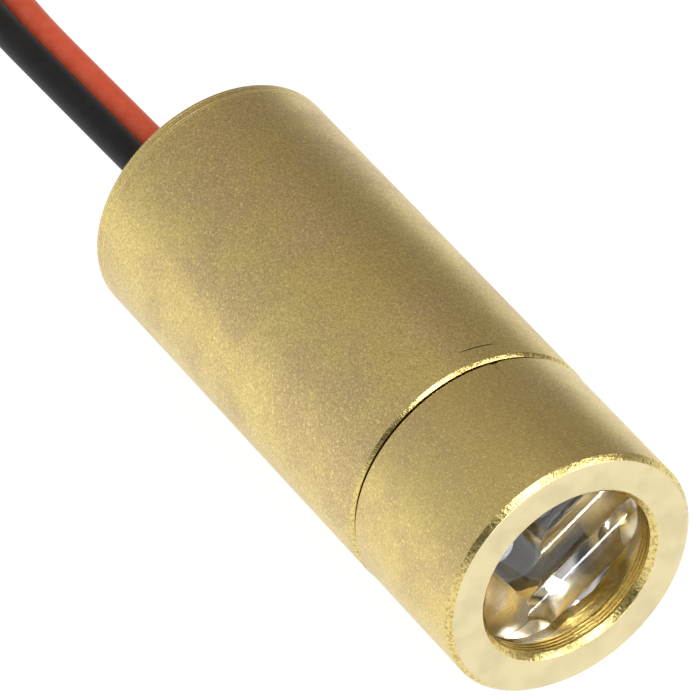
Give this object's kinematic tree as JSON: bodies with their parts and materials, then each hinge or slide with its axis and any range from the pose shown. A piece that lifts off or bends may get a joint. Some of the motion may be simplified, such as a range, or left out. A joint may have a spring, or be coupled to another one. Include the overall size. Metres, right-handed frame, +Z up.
{
  "type": "laser diode module",
  "caption": "Small cylindrical brass laser diode module with a cross-line lens in its front cap and a red and a black lead at its rear.",
  "frame": {"origin": "middle of the brass housing, on its optical axis, halfway between the front and rear faces", "axes": "+X along the beam, out of the front cap; +Z up as the module lies on its side; +Y to the left of the beam"},
  "size_m": [0.0615, 0.0138, 0.009],
  "materials": {
    "cap_brass": "fine turned brass, satin",
    "barrel_brass": "tumbled brass, satin, slightly tarnished",
    "inner_brass": "plain turned brass",
    "clear_plastic": "clear moulded plastic",
    "coated_glass": "coated optical glass",
    "window_glass": "clear glass",
    "seal_glass": "green seal glass",
    "spring_steel": "drawn wire",
    "gold_plate": "gold plated, bright",
    "can_metal": "drawn and plated",
    "ceramic": "fired ceramic",
    "chip": "polished semiconductor",
    "circuit_board": "solder mask",
    "black_moulding": "moulded epoxy",
    "white_moulding": "moulded plastic",
    "tinned_copper": "tinned strands",
    "solder": "bright solder",
    "black_potting": "cast epoxy",
    "red_insulation": "extruded insulation, satin",
    "black_insulation": "extruded insulation, satin",
    "tie_plastic": "flat plastic tie"
  },
  "bodies": {
    "root": {"front_cap": "cap_brass", "barrel": "barrel_brass", "cross_line_lens": "clear_plastic", "lens_retaining_ring": "inner_brass", "lens_cell": "inner_brass", "collimating_lens": "coated_glass", "lens_spring": "spring_steel", "diode_base": "gold_plate", "diode_can": "can_metal", "diode_window": "window_glass", "laser_submount": "ceramic", "laser_chip": "chip", "monitor_photodiode": "chip", "diode_pins": "gold_plate", "diode_pin_seals": "seal_glass", "diode_clamp_ring": "inner_brass", "driver_board": "circuit_board", "driver_chip": "black_moulding", "driver_capacitor": "ceramic", "driver_resistors": "black_moulding", "power_trimmer": "white_moulding", "lead_cores": "tinned_copper", "solder_joints": "solder", "rear_plug": "black_potting", "red_lead": "red_insulation", "black_lead": "black_insulation", "lead_coil": "black_insulation", "coil_tie": "tie_plastic", "red_lead_end": "tinned_copper", "black_lead_end": "tinned_copper"}
  },
  "joints": []
}
